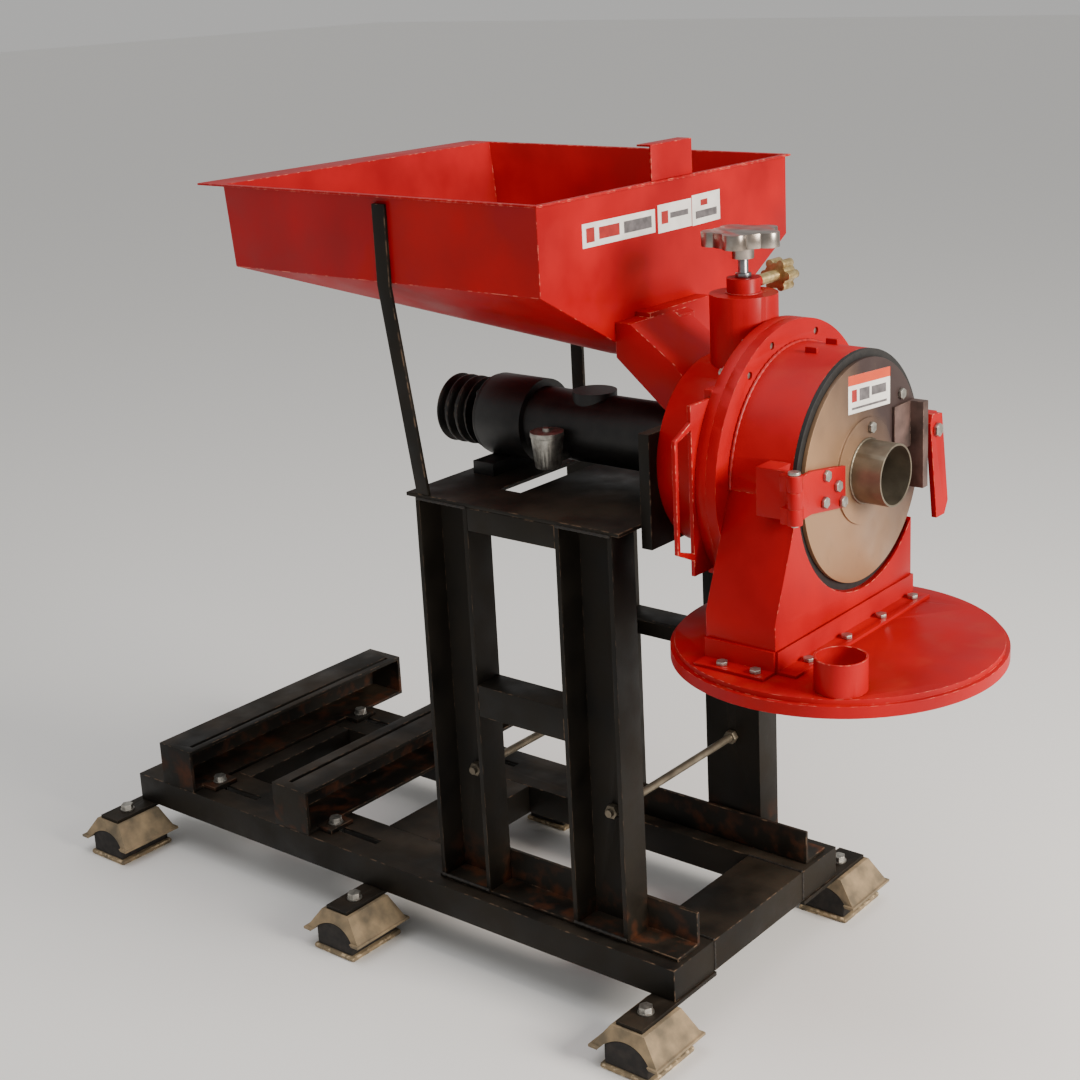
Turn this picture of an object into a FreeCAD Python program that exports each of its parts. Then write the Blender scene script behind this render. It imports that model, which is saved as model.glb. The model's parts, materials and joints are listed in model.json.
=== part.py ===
"""Hammer mill on a channel stand, with a feed hopper and a discharge tray.

Frame: millimetres, +Z up, the shaft runs along X towards the door (+X).
The origin is on the floor, under the middle of the whole machine.
"""
import FreeCAD, Part
import os
import types

import Sketcher

Vector = FreeCAD.Vector
doc = FreeCAD.newDocument("HammerMill")

# ---------------------------------------------------------------- sizes
SIZES = {
    # shaft line
    "shaft_plane": -33, "shaft_rise": 82.3, "shaft_radius": 20, "shaft_start": -144.5,
    "running_gap": 0.3, "fit_gap": 0.05,
    # base: rolled channel laid with its web up
    "base_start": -762.5, "base_length": 1174, "base_half_width": 220, "rail_under": 75,
    "channel_width": 100, "channel_depth": 50, "channel_web": 5, "channel_flange": 7.5,
    "cross_rear_start": -679.5, "cross_mid_start": -240.5,
    # anti-vibration feet
    "foot_rear_at": -750.5, "foot_mid_at": -183.5, "foot_front_at": 391.5, "foot_out": 262,
    "foot_base_length": 88, "foot_base_width": 108, "foot_base_height": 8,
    "foot_cap_length": 120, "foot_cap_width": 116, "foot_lip": 4, "foot_cap_level": 30,
    "foot_top_length": 58, "foot_top_width": 88, "foot_arch": 57, "foot_arch_drop": 5,
    "foot_rubber_length": 76, "foot_rubber_width": 100,
    "foot_bolt_radius": 6, "lug_width": 45, "lug_thickness": 6, "lug_reach": 302,
    # stand
    "seat_start": -52.5, "seat_length": 456, "seat_leg": 55, "seat_wall": 6, "seat_inner": 144,
    "post_rear_at": -46.5, "post_front_at": 216, "post_web_at": 150,
    "table_start": -64.5, "table_length": 393, "table_half_width": 200, "table_level": 744,
    "table_thickness": 6, "table_slot_at": 46.5, "table_slot_width": 40, "table_slot_half": 118,
    "beam_leg": 35, "beam_wall": 5, "brace_level": 470, "brace_leg": 50, "brace_wall": 5,
    "tie_level": 307, "tie_radius": 6,
    # motor slide rails
    "slide_rear_at": -694.5, "slide_front_at": -406.5, "slide_length": 520, "slide_width": 80,
    "slide_height": 76, "slide_wall": 6, "slide_slot_at": 59, "slide_slot_width": 8,
    "slide_front_slot_at": 22,
    "slide_lug_reach": 30, "slide_lug_width": 50, "slide_lug_thickness": 8, "slide_bolt_out": 172,
    "rail_slot_length": 105, "rail_slot_width": 14,
    # bearing housing
    "ring_start": -44.5, "ring_length": 86, "ring_radius": 63, "tube_radius": 52,
    "tube_end": 328.5, "bore_radius": 45, "bearing_width": 23, "inner_ring_radius": 28,
    "outer_ring_bore": 38, "ball_radius": 4.9, "cover_thickness": 8, "boss_at": 138.5, "boss_radius": 33,
    "boss_rise": 57.7, "saddle_length": 40, "saddle_height": 20, "saddle_half_width": 75,
    "saddle_rib": 50, "saddle_rear_at": -42.5, "saddle_front_at": 281.5,
    "cup_at": 112, "cup_out": 82, "cup_rise": -42.3, "cup_height": 46, "cup_radius": 24,
    "cup_foot_radius": 19, "cup_lid_height": 7,
    # pulley
    "pulley_start": -132.5, "pulley_length": 59, "pulley_radius": 53, "groove_depth": 12,
    "groove_width": 15, "groove_root": 8,
    # mounting plate and rear casing
    "plate_thickness": 18, "plate_half_width": 150, "plate_under_rise": -111.3, "plate_top_rise": 51.7,
    "rear_radius": 133.6, "rear_length": 105, "casing_wall": 6,
    "flange_radius": 193.5, "flange_thickness": 16, "flange_bolt_circle": 177, "bolt_recess": 3,
    # front casing, chute and tray
    "drum_radius": 162, "drum_length": 94, "door_ring_bore": 140, "door_ring_thickness": 6,
    "gasket_thickness": 6, "door_radius": 151.5, "door_thickness": 6,
    "chute_near": 222, "chute_far": 130, "chute_kink_rise": -148.3, "chute_foot_rise": -213.3,
    "chute_front": 589.5, "chute_wall": 4, "chute_cutout": 164, "chute_flange": 30, "flange_bar": 4,
    "tray_at": 585.5, "tray_y": -94, "tray_radius": 225, "tray_thickness": 4,
    "tray_rim_drop": 23, "tray_rim_step": 6,
    "collar_at": 682.2, "collar_y": -250.5, "collar_height": 44, "collar_radius": 34,
    "collar_wall": 3,
    # rotor
    "shaft_nut_width": 10, "disc_radius": 100, "disc_thickness": 8, "disc_rear_at": 495.5, "disc_pitch": 28,
    "pin_circle": 78, "pin_radius": 7, "hammer_width": 36, "hammer_reach": 58,
    "hammer_tail": 18, "hammer_thickness": 8, "spacer_radius": 12,
    "screen_bore": 146, "screen_thickness": 2.5,
    "impeller_at": 364, "impeller_length": 60, "impeller_radius": 108, "impeller_hub": 34,
    "blade_thickness": 6,
    # door furniture
    "inlet_radius": 42.5, "inlet_wall": 3, "inlet_length": 48, "boss_ring_radius": 72,
    "boss_ring_thickness": 3, "hinge_at": 605.5, "hinge_y": -231, "hinge_radius": 10,
    "hinge_pin_radius": 5, "hinge_half_height": 32, "strap_thickness": 5, "strap_height": 56,
    "strap_end": -95, "strap_bend": -178, "strap_fall": 19,
    "latch_bar_y": 85, "latch_bar_width": 14, "latch_bar_height": 122, "latch_bar_depth": 24,
    "lever_pivot_y": 138, "lever_pivot_rise": 18.7, "lever_width": 34, "lever_length": 130,
    "lever_thickness": 8, "lever_pin_radius": 6,
    # regulator tower
    "tower_at": 403.5, "tower_radius": 47, "tower_wall": 4, "tower_rise": 223.7,
    "tower_collar_radius": 23, "tower_collar_height": 21, "stem_radius": 7, "hub_radius": 15,
    "hub_rise": 270.7, "hub_height": 18, "wheel_radius": 56, "wheel_thickness": 20,
    "plug_rise": 137.7, "plug_height": 30,
    "knob_radius": 22, "knob_length": 26,
    # slide plate at the side of the casing
    "gate_thickness": 6, "gate_outer": 198, "gate_inner": 75, "gate_half_height": 115,
    "grip_reach": 36, "grip_half_height": 76, "grip_thickness": 6, "grip_root_half": 93,
    # hopper
    "bin_rear_top": -377.5, "bin_rear_low": -365.5, "bin_front": 231.5, "bin_near": -255,
    "bin_far": 347, "bin_top_rise": 361.7, "bin_waist_rise": 238.7, "bin_bottom_rise": 117.7, "bin_wall": 3,
    "outlet_length": 55, "outlet_near": -40, "outlet_far": 134, "rim_lip": 6,
    "rim_rear_lip": 52, "rim_thickness": 3,
    "port_near": 9, "port_far": 95, "port_rise": 126.7, "port_height": 47,
    "guide_near": -50, "guide_far": 99, "guide_rise": 122.7, "guide_height": 63, "guide_depth": 26,
    "throat_half_width": 65, "throat_wall": 3,
    "feed_gate_near": 3, "feed_gate_far": 102, "feed_gate_rise": 411.7, "feed_gate_lip": 22,
    "strut_width": 24, "strut_thickness": 6, "strut_top_at": -63.5, "strut_foot_at": -43.5,
}

sheet = doc.addObject("Spreadsheet::Sheet", "Sizes")
for row, (alias, number) in enumerate(SIZES.items(), start=1):
    sheet.set("A%d" % row, alias)
    sheet.set("B%d" % row, str(number))
    sheet.setAlias("B%d" % row, alias)
doc.recompute()


class Size:
    """A number with the sheet formula that gives it."""

    def __init__(self, text, number):
        self.text = text
        self.number = number

    def _join(self, other, sign, swap=False):
        other = size_of(other)
        left, right = (other, self) if swap else (self, other)
        result = {
            "+": left.number + right.number,
            "-": left.number - right.number,
            "*": left.number * right.number,
            "/": left.number / right.number if right.number else 0,
        }[sign]
        return Size("(%s %s %s)" % (left.text, sign, right.text), result)

    def __add__(self, other):
        return self._join(other, "+")

    def __radd__(self, other):
        return self._join(other, "+", swap=True)

    def __sub__(self, other):
        return self._join(other, "-")

    def __rsub__(self, other):
        return self._join(other, "-", swap=True)

    def __mul__(self, other):
        return self._join(other, "*")

    def __rmul__(self, other):
        return self._join(other, "*", swap=True)

    def __truediv__(self, other):
        return self._join(other, "/")

    def __neg__(self):
        return self._join(0, "-", swap=True)


def size_of(item):
    if isinstance(item, Size):
        return item
    return Size("(%s)" % item, float(item))


s = types.SimpleNamespace(**{alias: Size("Sizes." + alias, float(number))
                             for alias, number in SIZES.items()})

# ---------------------------------------------------------------- building blocks
ALONG_X = FreeCAD.Rotation(Vector(1, 1, 1), 120)
ALONG_Y = FreeCAD.Rotation(Vector(1, 0, 0), 90)
ALONG_Z = FreeCAD.Rotation()
LIE_X = FreeCAD.Rotation(Vector(0, 1, 0), 90)
LIE_Y = FreeCAD.Rotation(Vector(1, 0, 0), -90)
STAND_Z = FreeCAD.Rotation(Vector(0, 1, 0), -90)

PARTS = []


def bind(item, prop, amount):
    item.setExpression(prop, size_of(amount).text)


def put(item, x, y, z, rotation=None):
    if rotation is not None:
        item.Placement = FreeCAD.Placement(Vector(), rotation)
    for axis, amount in (("x", x), ("y", y), ("z", z)):
        bind(item, "Placement.Base." + axis, amount)
    return item


def block(x, y, z, length, width, height):
    item = doc.addObject("Part::Box", "Block")
    bind(item, "Length", length)
    bind(item, "Width", width)
    bind(item, "Height", height)
    return put(item, x, y, z)


def span(x0, x1, y0, y1, z0, z1):
    return block(x0, y0, z0, x1 - x0, y1 - y0, z1 - z0)


def rod(x, y, z, radius, length, axis="x"):
    item = doc.addObject("Part::Cylinder", "Rod")
    bind(item, "Radius", radius)
    bind(item, "Height", length)
    return put(item, x, y, z, {"x": LIE_X, "y": LIE_Y, "z": ALONG_Z}[axis])


def hexagon(x, y, z, radius, height, axis="z"):
    item = doc.addObject("Part::Prism", "Hexagon")
    item.Polygon = 6
    bind(item, "Circumradius", radius)
    bind(item, "Height", height)
    return put(item, x, y, z, {"x": LIE_X, "y": LIE_Y, "z": ALONG_Z}[axis])


def fuse(*items):
    item = doc.addObject("Part::MultiFuse", "Joined")
    item.Shapes = list(items)
    return item


def group(*items):
    item = doc.addObject("Part::Compound", "Group")
    item.Links = list(items)
    return item


def cut(base, *tools):
    item = doc.addObject("Part::Cut", "Cut")
    item.Base = base
    item.Tool = tools[0] if len(tools) == 1 else fuse(*tools)
    return item


def common(first, second):
    item = doc.addObject("Part::Common", "Shared")
    item.Base = first
    item.Tool = second
    return item


def outline(body, points):
    """Draw a closed outline whose corners are tied to the sheet."""
    plane = [f for f in body.Origin.OriginFeatures if f.Role == "XY_Plane"][0]
    sketch = body.newObject("Sketcher::SketchObject", "Outline")
    sketch.AttachmentSupport = (plane, [""])
    sketch.MapMode = "FlatFace"
    corners = [(size_of(u), size_of(v)) for u, v in points]
    places = [Vector(u.number, v.number, 0) for u, v in corners]
    count = len(places)
    for i in range(count):
        sketch.addGeometry(Part.LineSegment(places[i], places[(i + 1) % count]), False)
    for i in range(count):
        sketch.addConstraint(Sketcher.Constraint("Coincident", i, 2, (i + 1) % count, 1))
    for i, (u, v) in enumerate(corners):
        for kind, amount in (("DistanceX", u), ("DistanceY", v)):
            index = sketch.addConstraint(Sketcher.Constraint(kind, -1, 1, i, 1, amount.number))
            bind(sketch, "Constraints[%d]" % index, amount)
    return sketch


def prism(points, length, x, y, z, rotation):
    """A padded outline. ALONG_X draws in YZ and pads to +X, ALONG_Y draws in XZ and pads to -Y."""
    body = doc.addObject("PartDesign::Body", "Section")
    sketch = outline(body, points)
    pad = body.newObject("PartDesign::Pad", "Pad")
    pad.Profile = sketch
    bind(pad, "Length", length)
    return put(body, x, y, z, rotation)


def turned(points, x, y, z, rotation=ALONG_Z):
    """A turned piece: the outline is (distance along the axis, radius)."""
    body = doc.addObject("PartDesign::Body", "Turned")
    sketch = outline(body, points)
    revolution = body.newObject("PartDesign::Revolution", "Revolution")
    revolution.Profile = sketch
    revolution.ReferenceAxis = (sketch, ["H_Axis"])
    revolution.Angle = 360
    return put(body, x, y, z, rotation)


def ring(x, y, z, outer, inner, length, rotation=ALONG_Z):
    return turned([(0, inner), (length, inner), (length, outer), (0, outer)], x, y, z, rotation)


def plate_at(x, y, z, length, width, rotation=None):
    """A flat rectangle that a loft starts or ends on."""
    item = doc.addObject("Part::Plane", "Rectangle")
    bind(item, "Length", length)
    bind(item, "Width", width)
    return put(item, x, y, z, rotation)


def loft(*sections):
    item = doc.addObject("Part::Loft", "Loft")
    item.Sections = list(sections)
    item.Solid = True
    item.Ruled = True
    return item


def keep(label, item):
    item.Label = label
    PARTS.append(item)
    return item


def u_section(width, depth, web, flange):
    """A channel standing on its two legs."""
    return [(0, 0), (flange, 0), (flange, depth - web), (width - flange, depth - web),
            (width - flange, 0), (width, 0), (width, depth), (0, depth)]


def l_section(leg, wall):
    """An angle: one leg flat at the bottom, the other up at the right."""
    return [(0, 0), (leg, 0), (leg, leg), (leg - wall, leg), (leg - wall, wall), (0, wall)]


def flip(points, across=None, up=None):
    """Mirror an outline about the middle of a width, a height, or both."""
    flipped = points
    if across is not None:
        flipped = [(across - u, v) for u, v in flipped]
    if up is not None:
        flipped = [(u, up - v) for u, v in flipped]
    return flipped


SIDES = (-1, 1)
rail_top = s.rail_under + s.channel_depth
base_end = s.base_start + s.base_length
rail_inner = s.base_half_width - s.channel_width


def beside(side, distance):
    """A place at a distance from the shaft plane."""
    return s.shaft_plane + side * distance


# ---------------------------------------------------------------- base
channel = u_section(s.channel_width, s.channel_depth, s.channel_web, s.channel_flange)
slide_starts = (s.slide_rear_at, s.slide_front_at)


def base_rail(side):
    start_y = beside(side, s.base_half_width if side < 0 else rail_inner)
    rail = prism(channel, s.base_length, s.base_start, start_y, s.rail_under, ALONG_X)
    end_cap = block(base_end - s.channel_web, start_y, s.rail_under,
                    s.channel_web, s.channel_width, s.channel_depth)
    slots = []
    for start in slide_starts:
        bolt_x = start + s.slide_width + s.slide_lug_reach / 2
        middle = beside(side, s.slide_bolt_out)
        slots.append(block(bolt_x - s.rail_slot_width / 2, middle - s.rail_slot_width / 2,
                           rail_top - 2 * s.channel_web, s.rail_slot_length,
                           s.rail_slot_width, 3 * s.channel_web))
    return cut(fuse(rail, end_cap), *slots)


keep("base_rails", group(*[base_rail(side) for side in SIDES]))

cross_starts = (s.cross_rear_start, s.cross_mid_start, base_end - s.channel_width)
keep("base_cross_channels", group(*[
    prism(channel, 2 * rail_inner, start, beside(1, rail_inner), s.rail_under, ALONG_Y)
    for start in cross_starts]))

# ---------------------------------------------------------------- feet
foot_places = [(x, beside(side, s.foot_out), side)
               for x in (s.foot_rear_at, s.foot_mid_at, s.foot_front_at) for side in SIDES]
lug_under = s.rail_under - s.lug_thickness


def foot_lug(x, y, side):
    inner, outer = (rail_inner, s.lug_reach)
    low = beside(side, outer if side < 0 else inner)
    plate = block(x - s.lug_width / 2, low, lug_under, s.lug_width, outer - inner, s.lug_thickness)
    return cut(plate, rod(x, y, lug_under - 5, s.foot_bolt_radius + 0.5, s.lug_thickness + 10, "z"))


def foot_arch(x, y, radius):
    return rod(x, y - s.foot_cap_width, s.foot_arch_drop * -1, radius, 2 * s.foot_cap_width, "y")


def foot_casting(x, y, side):
    lip = block(x - s.foot_cap_length / 2, y - s.foot_cap_width / 2, s.foot_cap_level,
                s.foot_cap_length, s.foot_cap_width, s.foot_lip)
    low = plate_at(x - s.foot_cap_length / 2 + 4, y - s.foot_cap_width / 2 + 4,
                   s.foot_cap_level + s.foot_lip, s.foot_cap_length - 8, s.foot_cap_width - 8)
    high = plate_at(x - s.foot_top_length / 2, y - s.foot_top_width / 2, lug_under,
                    s.foot_top_length, s.foot_top_width)
    hole = rod(x, y, s.foot_cap_level, s.foot_bolt_radius + 0.3, s.rail_under, "z")
    return cut(fuse(lip, loft(low, high)), foot_arch(x, y, s.foot_arch), hole)


def foot_rubber(x, y, side):
    pad = block(x - s.foot_rubber_length / 2, y - s.foot_rubber_width / 2, s.foot_base_height,
                s.foot_rubber_length, s.foot_rubber_width, s.rail_under)
    return common(pad, foot_arch(x, y, s.foot_arch - s.running_gap))


def foot_base(x, y, side):
    return block(x - s.foot_base_length / 2, y - s.foot_base_width / 2, 0,
                 s.foot_base_length, s.foot_base_width, s.foot_base_height)


def foot_bolt(x, y, side):
    washer = rod(x, y, s.rail_under, 12, 2.5, "z")
    head = hexagon(x, y, s.rail_under + 2.5, 10.5, 8)
    shank = rod(x, y, lug_under - 12, s.foot_bolt_radius, 16 + s.lug_thickness, "z")
    return fuse(washer, head, shank)


for label, maker in (("foot_lugs", foot_lug), ("foot_castings", foot_casting),
                     ("foot_rubbers", foot_rubber), ("foot_bases", foot_base)):
    keep(label, group(*[maker(*place) for place in foot_places]))

# ---------------------------------------------------------------- stand
post_bottom = rail_top + s.seat_wall
post_height = s.table_level - post_bottom
post_starts = (s.post_rear_at, s.post_front_at)
seat = l_section(s.seat_leg, s.seat_wall)

keep("post_seat_angles", group(
    prism(seat, s.seat_length, s.seat_start, beside(-1, s.seat_inner + s.seat_leg), rail_top, ALONG_X),
    prism(flip(seat, across=s.seat_leg), s.seat_length, s.seat_start, beside(1, s.seat_inner),
          rail_top, ALONG_X)))


def post(start, side):
    section = channel if side < 0 else flip(channel, up=s.channel_depth)
    low = beside(side, s.post_web_at + s.channel_depth if side < 0 else s.post_web_at)
    body = prism(section, post_height, start, low, post_bottom, ALONG_Z)
    hole = rod(start + s.channel_width / 2, beside(side, s.post_web_at) - 20, s.tie_level,
               s.tie_radius + 0.5, 40, "y")
    return cut(body, hole)


for label, side in (("posts_near", -1), ("posts_far", 1)):
    keep(label, group(*[post(start, side) for start in post_starts]))

between = s.post_front_at - s.post_rear_at - s.channel_width
post_face = s.post_rear_at + s.channel_width
post_outer = s.post_web_at + s.channel_depth


def cross_angle(leg, wall, level, side):
    """An angle between two posts: one leg on top, one leg outside."""
    section = flip(l_section(leg, wall), up=leg)
    low = beside(side, post_outer if side < 0 else post_outer - leg)
    if side < 0:
        section = flip(section, across=leg)
    return prism(section, between, post_face, low, level - leg, ALONG_X)


keep("stand_cross_angles", group(
    *[cross_angle(s.beam_leg, s.beam_wall, s.table_level, side) for side in SIDES],
    *[cross_angle(s.brace_leg, s.brace_wall, s.brace_level, side) for side in SIDES]))

table_top = s.table_level + s.table_thickness
table = block(s.table_start, beside(-1, s.table_half_width), s.table_level, s.table_length,
              2 * s.table_half_width, s.table_thickness)
table_slot = block(s.table_slot_at, beside(-1, s.table_slot_half), s.table_level - 5,
                   s.table_slot_width, 2 * s.table_slot_half, s.table_thickness + 10)
keep("stand_table", cut(table, table_slot))


def tie_rod(start):
    x = start + s.channel_width / 2
    reach = s.post_web_at + s.channel_web + 16
    bar = rod(x, beside(-1, reach), s.tie_level, s.tie_radius, 2 * reach, "y")
    nuts = []
    for side in SIDES:
        for offset in (s.channel_web + 5, -5):
            place = beside(side, s.post_web_at + offset) - 5
            nuts.append(hexagon(x, place, s.tie_level, 11, 10, "y"))
    return fuse(bar, *nuts)


keep("tie_rods", group(*[tie_rod(start) for start in post_starts]))

# ---------------------------------------------------------------- motor slide rails
slide_inner = s.slide_height - s.slide_wall
slide_section = [(0, 0), (s.slide_width, 0), (s.slide_width, s.slide_wall),
                 (s.slide_wall, s.slide_wall), (s.slide_wall, slide_inner),
                 (s.slide_width, slide_inner), (s.slide_width, s.slide_height),
                 (0, s.slide_height)]
slide_near = beside(-1, s.base_half_width)
slide_far = slide_near + s.slide_length


def slide_bolt_x(start):
    return start + s.slide_width + s.slide_lug_reach / 2


def motor_rail(start, slot_at):
    rail = prism(slide_section, s.slide_length, start, slide_far, rail_top, ALONG_Y)
    ends = [block(start, y, rail_top, s.slide_width, s.slide_wall, s.slide_height)
            for y in (slide_near, slide_far - s.slide_wall)]
    lugs = [block(start + s.slide_width - 5, beside(side, s.slide_bolt_out) - s.slide_lug_width / 2,
                  rail_top, s.slide_lug_reach + 5, s.slide_lug_width, s.slide_lug_thickness)
            for side in SIDES]
    slot = block(start + slot_at, slide_near + 3 * s.slide_wall, rail_top + slide_inner - 5,
                 s.slide_slot_width, s.slide_length - 6 * s.slide_wall, s.slide_wall + 10)
    holes = [rod(slide_bolt_x(start), beside(side, s.slide_bolt_out), rail_top - 5, 6.5, 20, "z")
             for side in SIDES]
    return cut(fuse(rail, *ends, *lugs), slot, *holes)


keep("motor_rail_rear", motor_rail(s.slide_rear_at, s.slide_slot_at))
keep("motor_rail_front", motor_rail(s.slide_front_at, s.slide_front_slot_at))


def slide_bolt(start, side):
    x, y = slide_bolt_x(start), beside(side, s.slide_bolt_out)
    seat_z = rail_top + s.slide_lug_thickness
    washer = rod(x, y, seat_z, 12, 2.5, "z")
    head = hexagon(x, y, seat_z + 2.5, 10.5, 8)
    shank = rod(x, y, rail_top - s.channel_web - 18, 6, 18 + s.channel_web + s.slide_lug_thickness + 4, "z")
    nut = hexagon(x, y, rail_top - s.channel_web - 10, 10.5, 10)
    return fuse(washer, head, shank, nut)


keep("base_bolts", group(*[foot_bolt(*place) for place in foot_places],
                         *[slide_bolt(start, side) for start in slide_starts for side in SIDES]))

# ---------------------------------------------------------------- bearing housing and shaft
axis_y = s.shaft_plane
axis_z = s.table_level + s.shaft_rise
boss_top = axis_z + s.boss_rise
cup_level = axis_z + s.cup_rise
plate_under = axis_z + s.plate_under_rise
plate_top = axis_z + s.plate_top_rise
chute_kink = axis_z + s.chute_kink_rise
chute_foot = axis_z + s.chute_foot_rise
lever_pivot_z = axis_z + s.lever_pivot_rise
tower_top = axis_z + s.tower_rise
hub_level = axis_z + s.hub_rise
plug_level = axis_z + s.plug_rise
bin_top = axis_z + s.bin_top_rise
bin_waist = axis_z + s.bin_waist_rise
bin_bottom = axis_z + s.bin_bottom_rise
port_low = axis_z + s.port_rise
guide_low = axis_z + s.guide_rise
feed_gate_top = axis_z + s.feed_gate_rise
tube_start = s.ring_start + s.ring_length
plate_at_x = s.tube_end


def on_axis(x, radius, length):
    return rod(x, axis_y, axis_z, radius, length)


def axis_ring(x, outer, inner, length):
    return ring(x, axis_y, axis_z, outer, inner, length)


def saddle(x):
    foot = block(x, axis_y - s.saddle_half_width, table_top, s.saddle_length,
                 2 * s.saddle_half_width, s.saddle_height)
    rib = block(x, axis_y - s.saddle_rib / 2, table_top, s.saddle_length, s.saddle_rib,
                axis_z - table_top)
    return fuse(foot, rib)


housing_length = s.tube_end - s.ring_start
housing = fuse(on_axis(s.ring_start, s.ring_radius, s.ring_length),
               on_axis(s.ring_start, s.tube_radius, housing_length),
               rod(s.boss_at, axis_y, axis_z, s.boss_radius, boss_top - axis_z, "z"),
               saddle(s.saddle_rear_at), saddle(s.saddle_front_at))
keep("bearing_housing", cut(housing, on_axis(s.ring_start - 5, s.bore_radius, housing_length + 10)))

bearing_starts = (s.ring_start + 12, s.tube_end - s.bearing_width - 12)
ball_circle = (s.outer_ring_bore + s.inner_ring_radius) / 2


def ball(start, index, count):
    item = doc.addObject("Part::Sphere", "Ball")
    bind(item, "Radius", s.ball_radius)
    angle = 360.0 * index / count
    bind(item, "Placement.Base.x", start + s.bearing_width / 2)
    item.setExpression("Placement.Base.y", "%s + %s * cos(%s deg)"
                       % (axis_y.text, ball_circle.text, angle))
    item.setExpression("Placement.Base.z", "%s + %s * sin(%s deg)"
                       % (axis_z.text, ball_circle.text, angle))
    return item


BALLS = 10
bearing_pieces = []
for start in bearing_starts:
    bearing_pieces.append(axis_ring(start, s.bore_radius - s.fit_gap, s.outer_ring_bore,
                                    s.bearing_width))
    bearing_pieces += [ball(start, index, BALLS) for index in range(BALLS)]
keep("bearing_outer_rings", group(*bearing_pieces))
keep("bearing_inner_rings", group(*[
    axis_ring(start, s.inner_ring_radius, s.shaft_radius + 0.02, s.bearing_width)
    for start in bearing_starts]))


def around(count, first, radius, maker):
    """Repeat a piece about the shaft axis: the maker gets a place (y, z)."""
    made = []
    for index in range(count):
        made.append(maker(*polar(radius, first + 360.0 * index / count)))
    return made


def polar(radius, angle):
    """The place (y, z) at a radius and an angle from +Y about the shaft."""
    radius = size_of(radius)
    turn = FreeCAD.Units.Quantity("%s deg" % angle).getValueAs("rad").Value
    reach = Vector(radius.number, 0, 0)
    reach = FreeCAD.Rotation(Vector(0, 0, 1), angle).multVec(reach)
    y = Size("(%s * cos(%s deg))" % (radius.text, angle), reach.x)
    z = Size("(%s * sin(%s deg))" % (radius.text, angle), reach.y)
    return axis_y + y, axis_z + z


cover_circle = s.ring_radius - 9
cover_start = s.ring_start - s.cover_thickness
cover = axis_ring(cover_start, s.ring_radius - 2, s.shaft_radius + s.running_gap, s.cover_thickness)
cover_screws = around(4, 45, cover_circle, lambda y, z: hexagon(cover_start - 5, y, z, 6, 5, "x"))
keep("bearing_cover", group(cover, *cover_screws))

rotor_front = s.disc_rear_at + 2 * s.disc_pitch + s.disc_thickness
seat_radius = s.shaft_radius - 2.5
keep("main_shaft", turned(
    [(0, 0), (rotor_front + s.shaft_nut_width + 4 - s.shaft_start, 0),
     (rotor_front + s.shaft_nut_width + 4 - s.shaft_start, seat_radius - 2),
     (rotor_front - s.shaft_start, seat_radius - 2),
     (rotor_front - s.shaft_start, s.shaft_radius),
     (cover_start - 6 - s.shaft_start, s.shaft_radius),
     (cover_start - 6 - s.shaft_start, seat_radius), (0, seat_radius)],
    s.shaft_start, axis_y, axis_z))
keep("rotor_nut", cut(hexagon(rotor_front, axis_y, axis_z, 26, s.shaft_nut_width, "x"),
                      on_axis(rotor_front - 5, seat_radius - 2 + 0.02, 30)))

GROOVES = 3
groove_pitch = s.pulley_length / GROOVES
pulley_points = [(0, seat_radius + 0.02), (s.pulley_length, seat_radius + 0.02)]
for index in reversed(range(GROOVES)):
    middle = groove_pitch * index + groove_pitch / 2
    pulley_points += [
        (middle + groove_pitch / 2, s.pulley_radius) if index == GROOVES - 1 else None,
        (middle + s.groove_width / 2, s.pulley_radius),
        (middle + s.groove_root / 2, s.pulley_radius - s.groove_depth),
        (middle - s.groove_root / 2, s.pulley_radius - s.groove_depth),
        (middle - s.groove_width / 2, s.pulley_radius)]
pulley_points = [point for point in pulley_points if point] + [(0, s.pulley_radius)]
keep("drive_pulley", turned(pulley_points, s.pulley_start, axis_y, axis_z))

cup_y = beside(-1, s.cup_out)
cup = turned([(0, 0), (s.cup_height, 0), (s.cup_height, s.cup_radius), (0, s.cup_foot_radius)],
             s.cup_at, cup_y, cup_level, STAND_Z)
cup_bore = rod(s.cup_at, cup_y, cup_level + 4, s.cup_foot_radius - 3, s.cup_height, "z")
nipple = rod(s.cup_at, cup_y, cup_level + 8, 7, s.cup_out, "y")
keep("grease_cup", cut(fuse(cup, nipple), cup_bore, on_axis(s.ring_start, s.tube_radius, housing_length)))
lid_level = cup_level + s.cup_height + s.running_gap
keep("grease_cup_lid", fuse(
    rod(s.cup_at, cup_y, lid_level, s.cup_radius + 1, s.cup_lid_height, "z"),
    rod(s.cup_at, cup_y, lid_level, 6, s.cup_lid_height + 5, "z"),
    rod(s.cup_at, cup_y, lid_level - 10, s.cup_foot_radius - 3.1, 11, "z")))

# ---------------------------------------------------------------- casings
rear_start = s.tube_end + s.plate_thickness
flange_back = rear_start + s.rear_length
flange_middle = flange_back + s.flange_thickness
drum_start = flange_middle + s.flange_thickness
drum_end = drum_start + s.drum_length

mount_plate = block(s.tube_end, axis_y - s.plate_half_width, plate_under, s.plate_thickness,
                    2 * s.plate_half_width, plate_top - plate_under)
keep("mounting_plate", cut(mount_plate, on_axis(s.tube_end - 5, s.shaft_radius + 4, 40)))

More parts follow.
